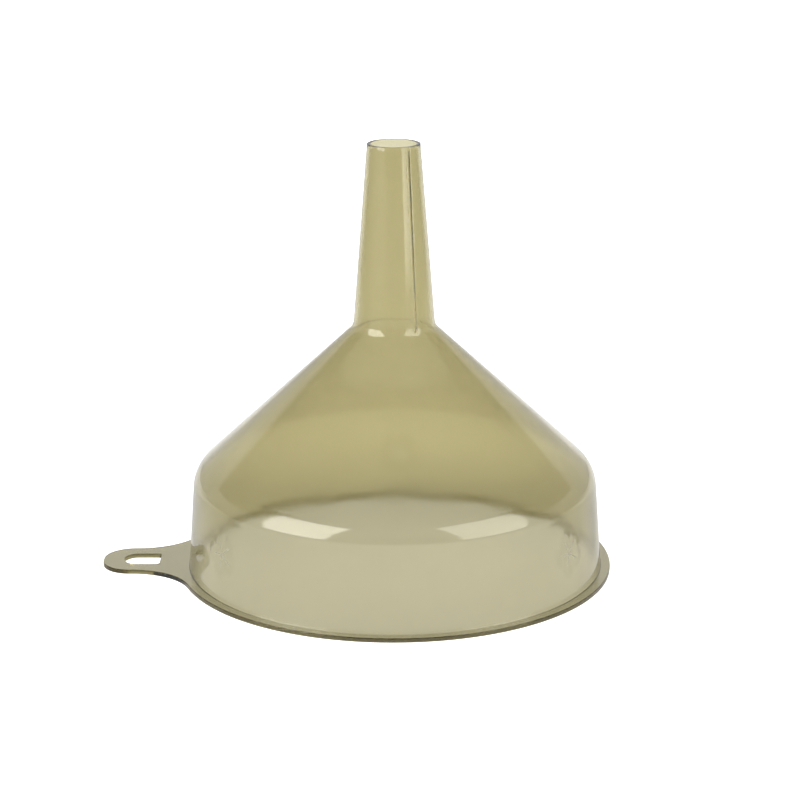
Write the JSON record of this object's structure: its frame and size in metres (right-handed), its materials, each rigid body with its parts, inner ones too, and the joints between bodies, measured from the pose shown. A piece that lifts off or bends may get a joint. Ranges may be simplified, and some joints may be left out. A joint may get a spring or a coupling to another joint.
{
  "type": "funnel",
  "caption": "Clear plastic household funnel with a drum mouth, a conical body, a tapered spout with an air rib, a flat rim flange and a slotted hanging tab.",
  "frame": {"origin": "centre of the mouth, in the plane that the rim rests on", "axes": "+Z along the axis from the mouth to the spout's tip; -X through the middle of the hanging tab"},
  "size_m": [0.177, 0.15, 0.1485],
  "materials": {
    "moulding": "clear smoky olive plastic, glossy as moulded"
  },
  "bodies": {
    "root": {"spout": "moulding", "vent_rib": "moulding", "neck": "moulding", "cone": "moulding", "shoulder": "moulding", "drum": "moulding", "rim_flange": "moulding", "hang_tab": "moulding", "rosette_left": "moulding", "rosette_right": "moulding", "rosette_back": "moulding"}
  },
  "joints": []
}
